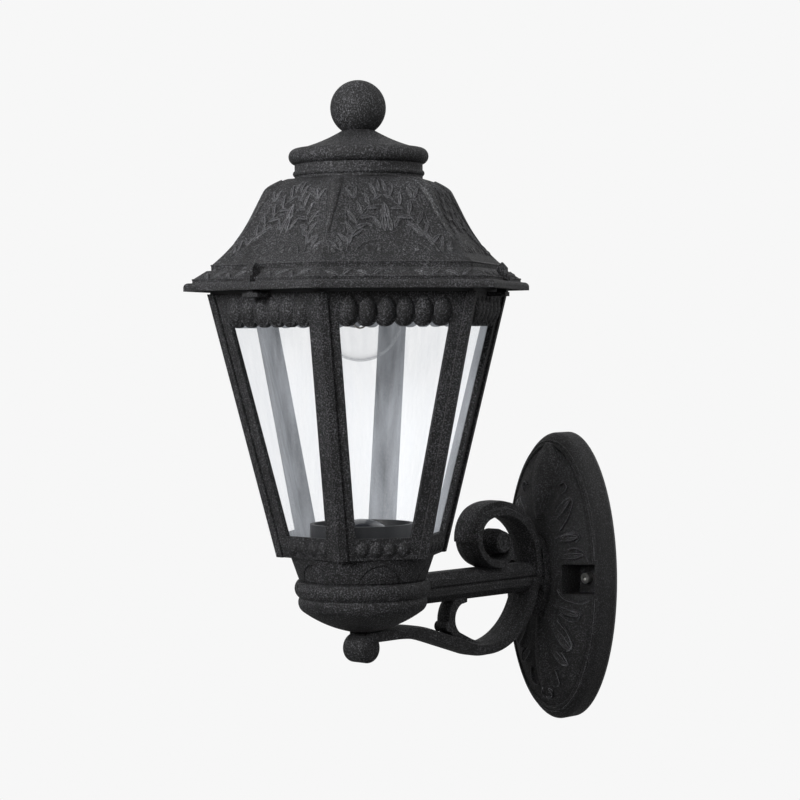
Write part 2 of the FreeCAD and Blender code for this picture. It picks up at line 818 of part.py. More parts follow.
def gear_cup():
    """The round wiring cup on the lantern's floor."""
    z0 = cage_foot_z + floor_t
    cup = Part.makeCylinder(gear_r, gear_h, V(0, 0, z0))
    hollow = Part.makeCylinder(gear_r - gear_wall, gear_h, V(0, 0, z0 + gear_wall))
    return cup.cut([hollow, Part.makeCylinder(lead_bore_r, gear_h, V(0, 0, z0))])


def gear_dome():
    """The dark dome over the joint inside the wiring cup."""
    z0 = cage_foot_z + floor_t + gear_wall
    hollow = ball_cap(gear_dome_r - gear_dome_wall, gear_dome_h - gear_dome_wall, z0)
    return ball_cap(gear_dome_r, gear_dome_h, z0).cut(hollow)


def ball_cap(radius, height, z0):
    """A slice of a ball that stands on the height z0."""
    ball = (radius ** 2 + height ** 2) / (2 * height)
    centre = z0 + height - ball
    half = math.asin(radius / ball) / 2
    via = ball * math.sin(half), centre + ball * math.cos(half)
    return turned([(0, z0), (radius, z0), (via, (0, z0 + height))])


# Roof, about the lantern's axis

def roof_path(inset):
    """The roof's slope from its flare up to its crown, inset from the outside."""
    flare = flare_r - inset, eave_z + flare_h
    waist = waist_r - inset, crown_z - waist_drop
    shoulder = shoulder_r - inset, crown_z - shoulder_drop
    crown = crown_r - inset, crown_z - inset
    return [
        flare,
        arc_to(flare, waist, flare_sag),
        shoulder,
        arc_to(shoulder, crown, -shoulder_sag),
        (0, crown[1]),
    ]


def roof_shell():
    """The bell-shaped six-sided roof with its moulded eave and the clips' slots."""
    eave = eave_r, eave_z + eave_h
    nose = eave_r - nose_in, eave_z + nose_h
    frieze_foot_r = eave_r - frieze_foot_in
    outline = [
        (0, eave_z),
        (eave_r, eave_z),
        eave,
        arc_to(eave, nose, -nose_sag),
        (frieze_foot_r, nose[1]),
        (frieze_foot_r, eave_z + frieze_foot_h),
        (eave_r - frieze_top_in, eave_z + frieze_top_h),
        (flare_r, eave_z + frieze_top_h),
    ]
    outer = six_sided(outline + roof_path(0))
    flange = eave_z + flange_t
    mouth_r = cage_top_r - mouth_in
    mouth = [(0, eave_z), (mouth_r, eave_z), (mouth_r, flange), (flare_r - roof_wall, flange)]
    hollow = six_sided(mouth + roof_path(roof_wall))
    groove_r = eave_r - eave_groove_in
    groove_floor = eave_z + eave_groove_d
    groove = frustum(groove_r, eave_z, groove_r, groove_floor)
    groove = groove.cut(frustum(groove_r - eave_groove_w, eave_z, groove_r - eave_groove_w, groove_floor))
    slots = [spun(roof_clip(clear), angle) for angle in clip_angles()]
    lug_x = clip_in + clip_d + clear
    lug = Part.makeBox(lug_d, clip_w, lug_h - eave_groove_d, V(lug_x, -clip_w / 2, groove_floor))
    hole = Part.makeCylinder(nipple_r + screw_clear, roof_h, V(0, 0, crown_z - roof_h / 2))
    roof = outer.cut([hollow, groove, hole]).fuse([spun(lug, angle) for angle in clip_angles()])
    return roof.cut(slots).removeSplitter()


def roof_seal():
    """The flat seal between the cage's rim and the roof's flange."""
    outer_r = shell_r(cage_top_z, post_rise)
    ring = frustum(outer_r, cage_top_z, outer_r, eave_z)
    return ring.cut(frustum(outer_r - seal_w / COS30, cage_top_z, outer_r - seal_w / COS30, eave_z))


def roof_cap():
    """The turned cap: a beaded band, a roll and a low cone, hollow below."""
    bead0 = cap_r, crown_z + cap_bead_z - cap_bead_h / 2
    bead1 = cap_r, crown_z + cap_bead_z + cap_bead_h / 2
    roll = cap_r, crown_z + cap_band_h
    cone = cap_cone_r, roll[1] + cap_torus_h
    neck = ball_seat_r, cap_top_z
    path = [
        (cap_bore_r, crown_z),
        (cap_r, crown_z),
        bead0,
        ((cap_bead_r, crown_z + cap_bead_z), bead1),
        roll,
        ((cap_torus_r, roll[1] + cap_torus_h / 2), cone),
        arc_to(cone, neck, cap_cone_sag),
        (stud_r + screw_clear, cap_top_z),
        (stud_r + screw_clear, crown_z + cap_roof_h),
        (cap_roof_r, crown_z + cap_roof_h),
        (cap_bore_r, crown_z + cap_bore_h),
    ]
    return turned(path)


def finial_ball():
    """The ball on the cap, flat where it sits and tapped for its stud."""
    drop = math.sqrt(ball_r ** 2 - ball_seat_r ** 2)
    centre = cap_top_z + drop
    ball = turned([(0, cap_top_z), (ball_seat_r, cap_top_z), ((ball_r, centre), (0, centre + ball_r))])
    return ball.cut(Part.makeCylinder(stud_r + screw_clear, stud_in_ball + clear, V(0, 0, cap_top_z)))


def finial_stud():
    """The stud that pulls the ball down on the cap."""
    z0 = crown_z + cap_roof_h - nut_t - clear
    return Part.makeCylinder(stud_r, cap_top_z + stud_in_ball - z0, V(0, 0, z0))


def holder_nipple():
    """The hollow threaded tube that hangs the lampholder under the roof's crown."""
    return tube(nipple_r, nipple_r - nipple_wall, holder_top_z - holder_top_t, crown_z + nut_t + clear)


def lampholder():
    """The lampholder's body, open below."""
    bore = thread_r + clear + sleeve_t + clear
    z = holder_top_z
    return turned([
        (nipple_r + screw_clear, z),
        (holder_top_r, z),
        (holder_r, z - holder_top_t),
        (holder_r, mouth_z),
        (bore, mouth_z),
        (bore, z - holder_top_t),
        (nipple_r + screw_clear, z - holder_top_t),
    ])


def lampholder_sleeve():
    """The brass screw sleeve in the lampholder."""
    inner = thread_r + clear
    return tube(inner + sleeve_t, inner, mouth_z + clear, mouth_z + clear + thread_h + sleeve_over)


def lampholder_contact():
    """The centre contact, from the lampholder's roof down to the bulb's tip."""
    tip = mouth_z + thread_h + bulb_insulator_h + bulb_tip_h
    roof = holder_top_z - holder_top_t
    plate = Part.makeCylinder(thread_r, sleeve_t, V(0, 0, roof - sleeve_t))
    return plate.fuse(Part.makeCylinder(contact_r, roof - sleeve_t - tip, V(0, 0, tip)))


def globe_path(inset):
    """The bulb's half outline from its lowest point to its neck, inset from the outside."""
    radius = bulb_r - inset
    angle = math.radians(bulb_shoulder)
    turn = radius * math.cos(angle), bulb_z + radius * math.sin(angle)
    neck = bulb_neck_r - inset, mouth_z
    mid = radius * math.cos(angle / 2 - math.pi / 4), bulb_z + radius * math.sin(angle / 2 - math.pi / 4)
    return [(0, bulb_z - radius), (mid, turn), arc_to(turn, neck, -bulb_neck_sag)]


def bulb_glass():
    """The clear bulb, open at its neck."""
    outer = turned(globe_path(0) + [(0, mouth_z)])
    return outer.cut(turned(globe_path(bulb_glass_t) + [(0, mouth_z)]))


def bulb_cap():
    """The bulb's screw cap: its thread is drawn as plain rings."""
    path = [(0, mouth_z), (thread_root_r, mouth_z)]
    for k in range(threads):
        z = mouth_z + k * thread_pitch
        root = thread_root_r, z + thread_pitch
        path.append(((thread_r, z + thread_pitch / 2), root))
    return turned(path + [(0, mouth_z + thread_h)])


def bulb_insulator():
    """The dark insulator on the cap."""
    z = mouth_z + thread_h
    return turned([(0, z), (thread_root_r, z), (bulb_tip_r, z + bulb_insulator_h), (0, z + bulb_insulator_h)])


def bulb_tip():
    """The bulb's solder contact."""
    z = mouth_z + thread_h + bulb_insulator_h
    return Part.makeCylinder(bulb_tip_r, bulb_tip_h, V(0, 0, z))


def bulb_stem():
    """The glass stem inside the bulb."""
    return Part.makeCylinder(stem_r, stem_h, V(0, 0, mouth_z - stem_h))


def bulb_filament():
    """The filament ring that hangs under the stem."""
    z = mouth_z - stem_h - filament_r - filament_ring_r
    return Part.makeTorus(filament_ring_r, filament_r, V(0, 0, z), ACROSS)


def write(name, shape, on_axis=True):
    """Writes one node, moved to the lantern's axis if it was drawn about it."""
    placed = at(shape, y=-reach) if on_axis else shape
    placed.exportStep("parts/" + name + ".step")
    print(name, placed.ShapeType, len(placed.Solids), placed.isValid(), round(placed.Volume))


os.makedirs("parts", exist_ok=True)

write("wall_gasket", wall_gasket(), False)
write("cable_grommet", cable_grommet(), False)
write("wall_strap", wall_strap(), False)
write("wall_plate", wall_plate(), False)
for label, side in (("left", -1), ("right", 1)):
    write("plate_screw_" + label, plate_screw(side), False)
for label, side in (("lower", -1), ("upper", 1)):
    write("arm_screw_" + label, arm_screw(side), False)
write("terminal_block", terminal_block(), False)
for k, place in enumerate(terminal_places()):
    write("terminal_screw_%d" % (k + 1), Part.makeCylinder(terminal_r, terminal_l, V(*place)), False)
write("lead", lead(), False)
write("arm_bracket", arm_bracket(), False)
for k in range(set_screws):
    write("set_screw_%d" % (k + 1), set_screw(k))
write("lantern_cage", lantern_cage())
write("diffuser", diffuser())
write("gear_cup", gear_cup())
write("gear_dome", gear_dome())
write("roof_seal", roof_seal())
write("roof_shell", roof_shell())
write("roof_cap", roof_cap())
write("finial_ball", finial_ball())
write("finial_stud", finial_stud())
write("finial_nut", nut(crown_z + cap_roof_h - nut_t, stud_r + screw_clear))
write("nipple_nut_upper", nut(crown_z, nipple_r + screw_clear))
write("nipple_nut_lower", nut(holder_top_z, nipple_r + screw_clear))
write("holder_nipple", holder_nipple())
write("lampholder", lampholder())
write("lampholder_sleeve", lampholder_sleeve())
write("lampholder_contact", lampholder_contact())
write("bulb_cap", bulb_cap())
write("bulb_insulator", bulb_insulator())
write("bulb_tip", bulb_tip())
write("bulb_glass", bulb_glass())
write("bulb_stem", bulb_stem())
write("bulb_filament", bulb_filament())
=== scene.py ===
# %% [markdown]
# # An outdoor wall light, dressed over its solids
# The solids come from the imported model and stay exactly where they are. This lesson adds what a mould maker
# would carve into them (leaves, ribs and fine ridges) and gives every piece a finish made of nodes.

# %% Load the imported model
import json
import math
import bpy
from mathutils import Matrix, Quaternion, Vector


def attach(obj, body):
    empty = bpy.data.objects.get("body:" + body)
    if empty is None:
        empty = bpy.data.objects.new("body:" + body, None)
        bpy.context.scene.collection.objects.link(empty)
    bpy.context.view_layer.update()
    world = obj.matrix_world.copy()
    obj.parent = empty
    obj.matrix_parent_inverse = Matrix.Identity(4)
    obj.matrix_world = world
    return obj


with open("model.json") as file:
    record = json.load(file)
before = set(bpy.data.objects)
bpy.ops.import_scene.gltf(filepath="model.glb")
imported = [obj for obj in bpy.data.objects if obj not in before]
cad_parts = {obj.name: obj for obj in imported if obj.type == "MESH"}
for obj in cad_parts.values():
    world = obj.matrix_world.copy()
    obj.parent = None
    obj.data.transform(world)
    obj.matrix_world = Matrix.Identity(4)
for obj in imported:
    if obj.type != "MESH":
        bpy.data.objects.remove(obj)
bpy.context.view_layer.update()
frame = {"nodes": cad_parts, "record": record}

nodes = frame["nodes"]


def shown(place):
    """A place with its long decimals cut, for printing."""
    return tuple(round(v, 4) for v in place)


# %% [markdown]
# ## Camera
# The photograph was taken with a long lens, a little above the lantern's middle and slightly rolled. A long
# lens keeps upright lines nearly parallel, so the lens and the distance are set together: one without the
# other would give the right size with the wrong perspective.

# %% Camera at the photograph's angle
CAMERA_AT = Vector((1.2251, -1.4816, 0.1890))
LOOK_ALONG = Vector((-0.68885, 0.72449, -0.02611))
ROLL_DEG = -0.5287
LENS_MM = 109.32
SENSOR_MM = 36.0
FARTHEST_M = 100.0

bpy.ops.object.select_all(action="DESELECT")
bpy.ops.object.camera_add(location=CAMERA_AT)
camera = bpy.context.object
camera.name = "photo_camera"
camera.rotation_mode = "QUATERNION"
roll = Quaternion((0, 0, 1), math.radians(ROLL_DEG))
camera.rotation_quaternion = LOOK_ALONG.to_track_quat("-Z", "Y") @ roll
camera.data.lens = LENS_MM
camera.data.sensor_width = SENSOR_MM
camera.data.clip_end = FARTHEST_M
bpy.context.scene.camera = camera
print("camera:", shown(camera.location), "lens", LENS_MM)

# %% [markdown]
# ## Sums with sockets
# A node tree is a sum drawn with boxes. The small class below lets a sum be written as one, so that
# `0.5 + 0.2 * grain` adds its own Math nodes. Any other node comes from `add`, which takes the node's type,
# its settings and what goes into its sockets.

# %% A socket that can be summed, and a finish that owns the nodes
class Socket:
    """One output in a finish's node tree."""

    def __init__(self, finish, output):
        self.finish = finish
        self.output = output

    def sum(self, operation, first, second):
        return self.finish.add("ShaderNodeMath", {"operation": operation}, {0: first, 1: second})

    def __add__(self, other):
        return self.sum("ADD", self, other)

    def __radd__(self, other):
        return self.sum("ADD", other, self)

    def __sub__(self, other):
        return self.sum("SUBTRACT", self, other)

    def __rsub__(self, other):
        return self.sum("SUBTRACT", other, self)

    def __mul__(self, other):
        return self.sum("MULTIPLY", self, other)

    def __rmul__(self, other):
        return self.sum("MULTIPLY", other, self)

    def __pow__(self, other):
        return self.sum("POWER", self, other)


class Finish:
    """A material, or the surround, and the nodes that it is mixed from."""

    def __init__(self, name, owner=None):
        self.owner = owner or bpy.data.materials.new(name)
        self.owner.use_nodes = True
        self.tree = self.owner.node_tree
        self.tree.nodes.clear()
        self.place = self.add("ShaderNodeTexCoord", output="Object")

    def add(self, kind, settings=None, values=None, output=0):
        """Adds one node: its settings first, then the values or links of its sockets."""
        node = self.tree.nodes.new(kind)
        for key, value in (settings or {}).items():
            if key == "stops":
                for _ in value[2:]:
                    node.color_ramp.elements.new(1.0)
                for stop, (at, tone) in zip(node.color_ramp.elements, value):
                    stop.position = at
                    stop.color = (tone, tone, tone, 1)
            else:
                setattr(node, key, value)
        for key, value in (values or {}).items():
            if isinstance(value, Socket):
                self.tree.links.new(value.output, node.inputs[key])
            else:
                node.inputs[key].default_value = value
        return None if output is None else Socket(self, node.outputs[output])

    def noise(self, scale, detail=2.0, rough=0.5):
        """Soft noise, about one lump in each 1/scale metres."""
        values = {"Vector": self.place, "Scale": scale, "Detail": detail, "Roughness": rough}
        return self.add("ShaderNodeTexNoise", {}, values)

    def ramp(self, value, low, high):
        """0 below low, 1 above high."""
        return self.add("ShaderNodeValToRGB", {"stops": [(low, 0.0), (high, 1.0)]}, {"Fac": value})

    def blend(self, share, first, second):
        """A colour between two, by a share."""
        return self.add("ShaderNodeMix", {"data_type": "RGBA"}, {0: share, 6: first, 7: second}, output=2)

    def vector(self, operation, first, second, output="Vector"):
        """A sum of two vectors. A dot product comes out of the socket Value."""
        return self.add("ShaderNodeVectorMath", {"operation": operation}, {0: first, 1: second}, output)

    def shader(self, values):
        """A Principled shader with these values."""
        return self.add("ShaderNodeBsdfPrincipled", {}, values)

    def done(self, shader, output="ShaderNodeOutputMaterial"):
        """Links the last shader to the output and gives back the material or the surround."""
        self.add(output, {}, {"Surface": shader}, output=None)
        return self.owner


print("sockets and finishes ready")

# %% [markdown]
# ## Surround, floor and light
# A black part shows its shape only through what it reflects. The photograph has a white background, but its
# undersides are dark, so little light came from below. The surround is therefore white to the eye, and for the
# light it is bright above, dimmer at the horizon and dark below. The floor lies well below the part, because
# the real one hangs on a wall, and it is the same white, so no line shows where it ends.

# %% White to the eye, brighter above than below
PAPER = 0.93
FLOOR_Z = -0.62
FLOOR_SIZE = 40.0
FLOOR_TONE = 0.25
GLOW = ((0.0, 0.12), (0.42, 0.22), (0.5, 0.48), (0.62, 0.66), (1.0, 1.0))    # from below to above


def paper(tone):
    """A plain grey."""
    return (tone, tone, tone, 1)


scene = bpy.context.scene
scene.view_settings.view_transform = "Standard"
surround = Finish("surround", bpy.data.worlds.new("surround"))
ahead = surround.add("ShaderNodeTexCoord", output="Generated")
height = surround.add("ShaderNodeSeparateXYZ", {}, {0: ahead}, output="Z")
glow = surround.add("ShaderNodeValToRGB", {"stops": GLOW}, {"Fac": height * 0.5 + 0.5})
seen = surround.add("ShaderNodeLightPath", output="Is Camera Ray")
sky = surround.add("ShaderNodeBackground", {}, {"Color": surround.blend(seen, glow, paper(PAPER))})
scene.world = surround.done(sky, "ShaderNodeOutputWorld")

bpy.ops.object.select_all(action="DESELECT")
bpy.ops.mesh.primitive_plane_add(size=FLOOR_SIZE, location=(0, 0, FLOOR_Z))
floor = bpy.context.object
floor.name = "floor"
paint = Finish("floor_paint")
matt = paint.shader({"Base Color": paper(FLOOR_TONE), "Roughness": 0.9 + 0.05 * paint.noise(0.5)})
white = paint.add("ShaderNodeEmission", {}, {"Color": paper(PAPER)})
seen = paint.add("ShaderNodeLightPath", output="Is Camera Ray")
floor.data.materials.append(paint.done(paint.add("ShaderNodeMixShader", {}, {0: seen, 1: matt, 2: white})))
print("floor at", FLOOR_Z, "white", PAPER)

# %% Softboxes
LANTERN_Y = -0.234
LANTERN = (0, LANTERN_Y, 0.2)
ROOF = (0, LANTERN_Y, 0.34)
SOFTBOXES = (
    # name, place, aim, size in metres, watts, spread in degrees
    ("key_light", (0.3, -1.8, 0.74), ROOF, 0.7, 5.2, 40.0),
    ("top_light", (0.0, -0.3, 1.7), LANTERN, 0.8, 3.0, 180.0),
    ("side_light", (1.1, 0.8, 0.9), LANTERN, 1.3, 11.0, 180.0),
)


def softbox(name, place, aim, size, watts, spread_deg):
    """A square area light that points from its place at an aim. A smaller spread keeps its light together."""
    bpy.ops.object.light_add(type="AREA", location=place)
    light = bpy.context.object
    light.name = name
    light.rotation_euler = (Vector(aim) - Vector(place)).to_track_quat("-Z", "Y").to_euler()
    light.data.size = size
    light.data.energy = watts
    light.data.spread = math.radians(spread_deg)


for row in SOFTBOXES:
    softbox(*row)

# %% [markdown]
# ## Black resin
# The light is moulded in black resin with a fine sandy skin. Up close the skin is a field of tiny grains: they
# scatter the light, so highlights are broad and speckled. Fine noise gives the grains a bump and a paler tip,
# and a larger and fainter noise keeps the black from looking printed. A Bevel node softens the moulded edges.
# Where its normal leaves the surface's own, there is an edge. The carved relief is glossier than the plain
# skin, and a painted highlight pales its edges, which draws their thin bright lines, most of all on the wall
# plate. The plate and its leaves get darker copies of the resin: painted shade for the lantern's shadow on it.

# %% The resin finishes
GRAINS_PER_M = 900.0
PATCHES_PER_M = 60.0
SOFT_EDGE = 0.0008
GRAIN_DEEP = 0.0008
HIGHLIGHT_TONE = 0.1
RESINS = (
    # name, darkest, palest, roughness, bump, how much a painted highlight pales its edges
    ("black_resin", 0.003, 0.066, 0.62, 0.8, 0.0),
    ("carved_resin", 0.003, 0.072, 0.42, 0.7, 0.85),
    # The last two are darker copies, painted shade of the lantern's shadow on the wall plate; the plate's
    # leaves also get the strongest painted edge highlight.
    ("shaded_highlit_resin", 0.002, 0.05, 0.54, 0.8, 1.4),
    ("shaded_plate_resin", 0.002, 0.036, 0.54, 0.8, 0.0),
)


def grey(tone):
    """A nearly neutral dark colour, a touch cool."""
    return (tone, tone, tone * 1.08, 1)


def sandy_resin(name, dark, pale, rough, bump, painted_highlight):
    """Black resin with a sandy skin."""
    skin = Finish(name)
    grain = skin.noise(GRAINS_PER_M, 3.0, 0.7)
    patch = skin.noise(PATCHES_PER_M, 3.0, 0.55)
    tips = skin.ramp(grain * 0.88 + patch * 0.12, 0.5, 0.68)
    rounded = skin.add("ShaderNodeBevel", {"samples": 6}, {"Radius": SOFT_EDGE})
    flat = skin.add("ShaderNodeNewGeometry", output="Normal")
    same = skin.vector("DOT_PRODUCT", rounded, flat, "Value")
    # Painted highlight: the colour is paled along the moulded edges that the Bevel node finds.
    edge = painted_highlight * skin.ramp(1.0 - same, 0.02, 0.22) * (0.3 + grain)
    sandy = skin.blend(tips, grey(dark), grey(pale))
    return skin.done(skin.shader({
        "Base Color": skin.blend(edge, sandy, grey(HIGHLIGHT_TONE)),
        "Roughness": rough + 0.16 * patch - 0.16 * tips,
        "Specular IOR Level": 0.2,
        "Normal": skin.add("ShaderNodeBump", {}, {
            "Strength": bump, "Distance": GRAIN_DEEP, "Height": grain, "Normal": rounded}),
    }))


finishes = {row[0]: sandy_resin(*row) for row in RESINS}
print("finishes:", list(finishes))

# %% [markdown]
# ## Clear plastic and glass
# The insert and the bulb are clear: most light goes straight through, and a little comes back from the
# surface. A Mix Shader between a Transparent and a Principled shader says just that. The share that comes back
# is small when seen straight on and grows steeply towards the edges, which a power of Layer Weight's Facing
# gives. In the photograph the near panes are clear, and the far ones have a streaky haze, because their inside
# catches the light. Geometry's Normal always faces the eye, so where it points towards the lantern's axis, a
# pane is being seen from inside. The haze is as bright under the eave as in the open: a faint glow of its own
# stands in for the many bounces that this takes.

# %% Clear finishes
STREAKS = (160.0, 160.0, 4.0)    # streaks in each metre across, and far fewer up, so that they stand tall
CLEAR_IOR = 1.45


def clear_finish(name, outside, inside, edge, tint, rough, glow):
    """A clear sheet: the shares sent back as seen from outside, from inside, and at its edges."""
    sheet = Finish(name)
    tall = sheet.add("ShaderNodeMapping", {}, {"Vector": sheet.place, "Scale": STREAKS})
    noise = {"Vector": tall, "Scale": 1.0, "Detail": 3.0, "Roughness": 0.6}
    streak = sheet.add("ShaderNodeTexNoise", {}, noise)
    dim = tuple(0.85 * c for c in tint) + (1,)
    milk_and_painted_glow = sheet.blend(streak, dim, (*tint, 1))
    body = sheet.shader({
        "Base Color": milk_and_painted_glow,
        "Roughness": rough + 0.06 * streak,
        "IOR": CLEAR_IOR,
        # The emission is a painted glow: the milky colour glows by itself, standing in for light bounced about
        # inside the lantern.
        "Emission Color": milk_and_painted_glow,
        "Emission Strength": glow,
    })
    through = sheet.add("ShaderNodeBsdfTransparent", {}, {"Color": (1, 1, 1, 1)})
    out = sheet.vector("SUBTRACT", sheet.place, (0, LANTERN_Y, 0))
    level = sheet.vector("MULTIPLY", out, (1, 1, 0))
    normal = sheet.add("ShaderNodeNewGeometry", output="Normal")
    facing = sheet.vector("DOT_PRODUCT", normal, level, "Value")
    from_inside = sheet.add("ShaderNodeMath", {"operation": "LESS_THAN"}, {0: facing, 1: 0.0})
    haze = outside + from_inside * (inside - outside)
    turned_away = sheet.add("ShaderNodeLayerWeight", {}, {"Blend": 0.5}, output="Facing")
    share = haze * (0.1 + 1.8 * streak) + edge * turned_away ** 5.0
    return sheet.done(sheet.add("ShaderNodeMixShader", {}, {0: share, 1: through, 2: body}))


CLEAR = (
    # name, share from outside, from inside, at the edges, tint, roughness, painted glow
    ("clear_plastic", 0.004, 0.165, 0.2, (0.40, 0.42, 0.45), 0.3, 1.3),
    ("bulb_glass", 0.012, 0.012, 0.9, (0.90, 0.92, 0.94), 0.03, 0.0),
)
for row in CLEAR:
    finishes[row[0]] = clear_finish(*row)
print("clear finishes:", [row[0] for row in CLEAR])

# %% [markdown]
# ## Plain materials of the hidden pieces
# The pieces inside are seen when the roof is lifted, or from behind. Metals get a brushed or worn roughness,
# plastics a soft unevenness and rubber a dull bloom, all from one function with different numbers.

# %% Metals, plastics and rubber
FINE_BUMP = 0.0003
PLAIN = (
    # name, colour, metallic, roughness, unevenness, lumps per metre, bump
    ("dome_plastic", (0.012, 0.013, 0.016), 0.0, 0.12, 0.2, 60.0, 0.05),
    ("seal_rubber", (0.022, 0.022, 0.023), 0.0, 0.75, 0.3, 120.0, 0.2),
    ("strap_steel", (0.62, 0.62, 0.60), 1.0, 0.35, 0.2, 90.0, 0.1),
    ("screw_steel", (0.50, 0.50, 0.50), 1.0, 0.32, 0.25, 400.0, 0.1),
    ("terminal_plastic", (0.80, 0.80, 0.76), 0.0, 0.5, 0.05, 150.0, 0.05),
    ("brass", (0.72, 0.52, 0.22), 1.0, 0.3, 0.2, 150.0, 0.1),
    ("lead_rubber", (0.018, 0.018, 0.019), 0.0, 0.6, 0.3, 200.0, 0.15),
    ("holder_plastic", (0.78, 0.77, 0.73), 0.0, 0.18, 0.05, 80.0, 0.05),
    ("bulb_metal", (0.75, 0.75, 0.76), 1.0, 0.28, 0.15, 250.0, 0.1),
    ("bulb_insulator", (0.015, 0.015, 0.016), 0.0, 0.2, 0.2, 150.0, 0.05),
    ("filament", (0.42, 0.38, 0.33), 1.0, 0.45, 0.2, 900.0, 0.05),
    ("smooth_black", (0.006, 0.006, 0.007), 0.0, 0.4, 0.3, 150.0, 0.05),
    ("dark_steel", (0.05, 0.05, 0.052), 1.0, 0.38, 0.25, 400.0, 0.1),
    ("worn_steel", (0.30, 0.30, 0.29), 1.0, 0.3, 0.3, 400.0, 0.1),
)


def plain_finish(name, colour, metal, rough, uneven, scale, bump):
    """An ordinary finish whose colour and roughness vary by a noise of that scale."""
    plain = Finish(name)
    wear = plain.noise(scale, 4.0, 0.6)
    fine = plain.noise(scale * 7, 2.0, 0.5)
    dim = tuple(c * (1 - uneven) for c in colour) + (1,)
    lift = tuple(min(1.0, c * (1 + uneven)) for c in colour) + (1,)
    return plain.done(plain.shader({
        "Base Color": plain.blend(wear, dim, lift),
        "Metallic": metal,
        "Roughness": rough + uneven * 0.5 * wear,
        "Normal": plain.add("ShaderNodeBump", {}, {"Strength": bump, "Distance": FINE_BUMP, "Height": fine}),
    }))


for row in PLAIN:
    finishes[row[0]] = plain_finish(*row)
print("finishes:", len(finishes))

# %% [markdown]
# ## Who wears what
# Each solid's record names a slot, and the slot has a finish of that name. A few solids look different from
# the rest of their slot in the photograph, so they get a finish of their own.

# %% Give each solid its finish
OWN_FINISH = {
    "set_screw": "dark_steel",
    "plate_screw": "worn_steel",
    "gear_cup": "smooth_black",
    # The plate's resin is darker: painted shade of the lantern's shadow.
    "wall_plate": "shaded_plate_resin",
}


def coat(piece, finish):
    """Leaves one finish on a piece."""
    piece.data.materials.clear()
    piece.data.materials.append(finishes[finish])


for subpart in frame["record"]["subparts"]:
    coat(nodes[subpart["node"]], subpart["material_slot"])
for name in nodes:
    for start, finish in OWN_FINISH.items():
        if name.startswith(start):
            coat(nodes[name], finish)

# %% [markdown]
# ## Working by hand, in code
# Every carved piece starts from a primitive and is shaped in edit mode, as with a mouse. In code there is no
# mouse to click with, so `pick` selects vertices by a rule on where they are. Operators act on all that is
# selected, so `fresh` clears the selection before a new piece is begun.

# %% Hand tools
import bmesh

MM = 0.001
AXIS = Vector((0, LANTERN_Y, 0))
BRACKET = "bracket_and_lantern"
SMOOTH_DEG = 50.0


def fresh():
    """Back to object mode with nothing selected."""
    if bpy.context.mode != "OBJECT":
        bpy.ops.object.mode_set(mode="OBJECT")
    bpy.ops.object.select_all(action="DESELECT")


def pick(rule):
    """In edit mode, selects the vertices whose place passes a rule."""
    bpy.ops.mesh.select_mode(type="VERT")
    mesh = bmesh.from_edit_mesh(bpy.context.object.data)
    for vertex in mesh.verts:
        vertex.select_set(rule(vertex.co))
    mesh.select_flush(True)
    bmesh.update_edit_mesh(bpy.context.object.data)


def move(x=0.0, y=0.0, z=0.0):
    """Moves what is picked."""
    bpy.ops.transform.translate(value=(x, y, z))


def resize(x=1.0, y=1.0, z=1.0, about=(0, 0, 0)):
    """Resizes what is picked about a point."""
    bpy.ops.transform.resize(value=(x, y, z), center_override=about)


def twin(piece):
    """A copy with its own mesh."""
    copy = piece.copy()
    copy.data = piece.data.copy()
    bpy.context.collection.objects.link(copy)
    return copy


def joined(pieces):
    """One piece out of many."""
    fresh()
    for piece in pieces:
        piece.select_set(True)
    bpy.context.view_layer.objects.active = pieces[0]
    bpy.ops.object.join()
    return pieces[0]


def finish_piece(piece, name, body, finish="carved_resin"):
    """Names a carved piece, coats it, smooths it and lets it ride."""
    fresh()
    piece.select_set(True)
    bpy.context.view_layer.objects.active = piece
    bpy.ops.object.shade_smooth_by_angle(angle=math.radians(SMOOTH_DEG))
    piece.name = name
    piece.data.name = name
    coat(piece, finish)
    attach(piece, body)
    print(name, len(piece.data.polygons), "faces")


print("hand tools ready")

# %% [markdown]
# ## Relief that follows a curved wall
# Carving on a bell-shaped roof or a domed plate is drawn flat first: x goes across, y goes up and z is how far
# it stands out. Draping then moves every point: a ray finds the wall at that place, and the point goes out
# from there along the wall's own normal. Whatever is drawn flat fits, and only the drawing has to be right.

# %% Rays at the roof and at the plate, and draping
FAR = 0.3    # a ray starts this far out, where nothing is in its way
FACE_DEG = 30
SIXTH_DEG = 60


def on_roof(angle_deg, across, up):
    """Where a level ray from outside meets the roof, and the roof's normal there."""
    angle = math.radians(angle_deg)
    out = Vector((math.cos(angle), math.sin(angle), 0))
    side = Vector((-out.y, out.x, 0))
    start = AXIS + out * FAR + side * across + Vector((0, 0, up))
    _, at, normal, _ = nodes["roof_shell"].ray_cast(start, -out)
    return at, normal


def on_plate(across, up):
    """Where a level ray from the front meets the wall plate, and the plate's normal there."""
    _, at, normal, _ = nodes["wall_plate"].ray_cast(Vector((across, -FAR, up)), Vector((0, 1, 0)))
    return at, normal


def draped(drawing, wall):
    """A copy of a flat drawing, laid on a wall that gives a point and a normal for each place."""
    piece = twin(drawing)
    for vertex in piece.data.vertices:
        at, normal = wall(vertex.co.x, vertex.co.y)
        vertex.co = at + normal * vertex.co.z
    return piece


def on_six_faces(drawing):
    """A flat drawing, draped on each of the roof's faces as one piece."""
    faces = [draped(drawing, lambda x, y: on_roof(FACE_DEG + SIXTH_DEG * k, x, y)) for k in range(6)]
    bpy.data.objects.remove(drawing)
    return joined(faces)


print("a face of the roof, 270 mm up:", shown(on_roof(FACE_DEG, 0.0, 0.27)[0]))

